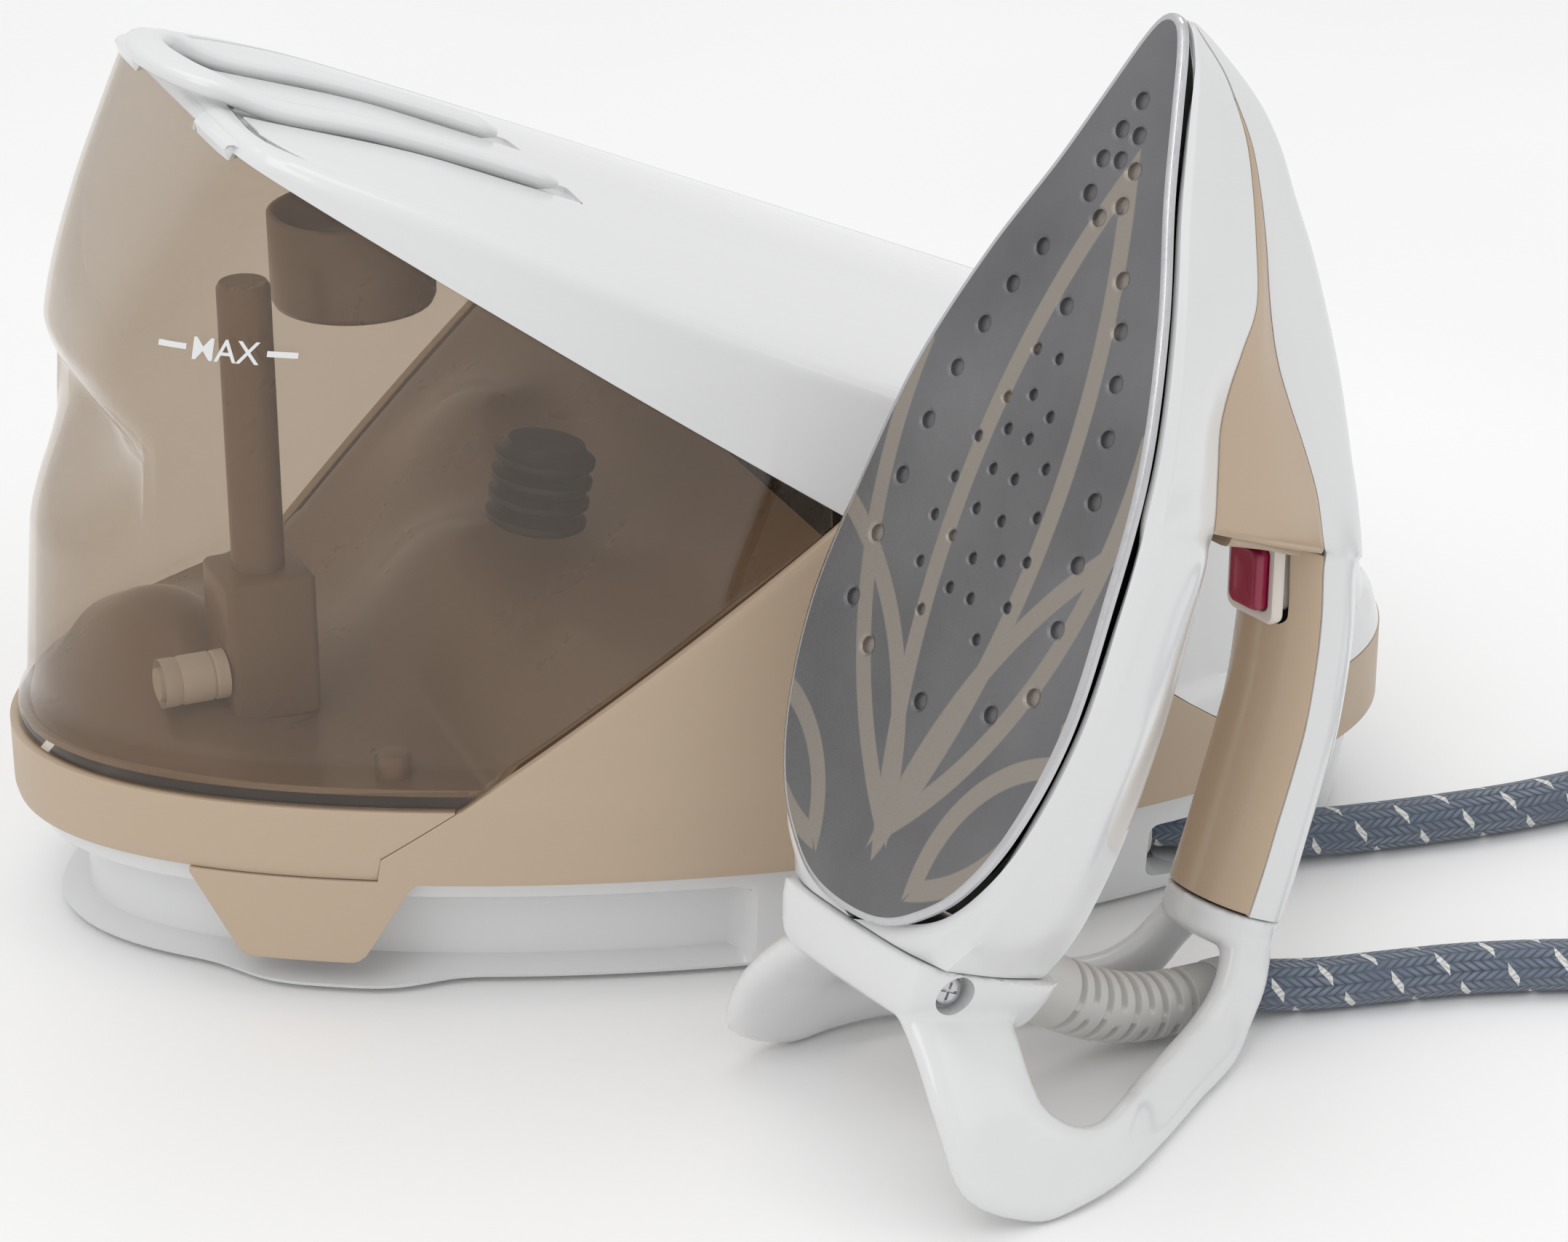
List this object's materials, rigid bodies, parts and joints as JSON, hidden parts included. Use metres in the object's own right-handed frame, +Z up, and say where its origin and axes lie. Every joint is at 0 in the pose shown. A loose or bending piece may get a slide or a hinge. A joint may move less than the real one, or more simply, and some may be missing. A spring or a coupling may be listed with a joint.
{
  "type": "steam generator iron",
  "caption": "Steam generator iron: base with a removable smoked tank and sloped iron rest, and the iron standing on its heel, joined to it by a braided hose.",
  "frame": {"origin": "on the floor, under the middle of the box round the base and the iron together", "axes": "+Z up, +X from the water tank end of the base to its rear end, -Y the side where the iron stands"},
  "size_m": [0.6426, 0.45, 0.2929],
  "materials": {
    "white_gloss": "gloss",
    "beige_satin": "satin",
    "smoked_clear": "clear, smoked",
    "smoked_part": "satin",
    "pale_plastic": "satin",
    "grey_plastic": "satin",
    "black_plastic": "matt",
    "rubber": "matt",
    "steel": "satin",
    "brass": "satin",
    "board": "matt",
    "sole_metal": "satin",
    "braid": "herringbone braid",
    "trigger_red": "gloss"
  },
  "bodies": {
    "base": {"base_tray": "white_gloss", "side_housing": "beige_satin", "bulkhead": "beige_satin", "top_frame": "white_gloss", "rest_plate": "white_gloss", "boiler": "steel", "steam_valve": "brass", "boiler_heater": "steel", "pump": "black_plastic", "control_board": "board", "scale_plug": "grey_plastic", "mains_gland": "black_plastic", "foot_front_near": "rubber", "foot_front_far": "rubber", "foot_rear_near": "rubber", "foot_rear_far": "rubber", "hose_outlet": "grey_plastic", "hose_base_side": "braid", "hose_coil": "braid", "coil_tie": "black_plastic"},
    "tank": {"water_tank": "smoked_clear", "tank_band": "beige_satin", "filler_collar": "smoked_clear", "tank_valve": "smoked_part", "outlet_nozzle": "pale_plastic", "latch_peg": "beige_satin"},
    "hoop": {"lock_hoop": "white_gloss"},
    "power_key": {"power_button": "grey_plastic"},
    "iron": {"soleplate": "sole_metal", "heat_shield": "black_plastic", "heater_block": "steel", "lower_skirt": "white_gloss", "side_panel_near": "beige_satin", "side_panel_far": "beige_satin", "spine_cover": "white_gloss", "grip": "beige_satin", "heel_frame": "white_gloss", "heel_screw_near": "steel", "heel_screw_far": "steel", "trigger_bezel": "pale_plastic", "trigger_spring": "steel", "trigger_switch": "black_plastic", "strain_relief": "grey_plastic", "hose_collar": "white_gloss", "hose_iron_side": "braid"},
    "trigger_key": {"trigger": "trigger_red"}
  },
  "joints": [
    {"name": "tank_slide", "type": "slide", "parent": "base", "child": "tank", "axis": [-1, 0, 0], "range_m": [0, 0.15]},
    {"name": "hoop_hinge", "type": "hinge", "parent": "base", "child": "hoop", "pos_m": [-0.04745, 0.06768, 0.2112], "axis": [0, 1, 0], "range_deg": [0, 85]},
    {"name": "power_press", "type": "slide", "parent": "base", "child": "power_key", "axis": [-1, 0, 0], "range_m": [0, 0.002], "stiffness_N_per_m": 800},
    {"name": "iron_lift", "type": "slide", "parent": "base", "child": "iron", "axis": [0, 0, 1], "range_m": [0, 0.15]},
    {"name": "trigger_pull", "type": "slide", "parent": "iron", "child": "trigger_key", "axis": [0.9788, 0.2045, -0.0098], "range_m": [0, 0.0035], "stiffness_N_per_m": 900}
  ]
}
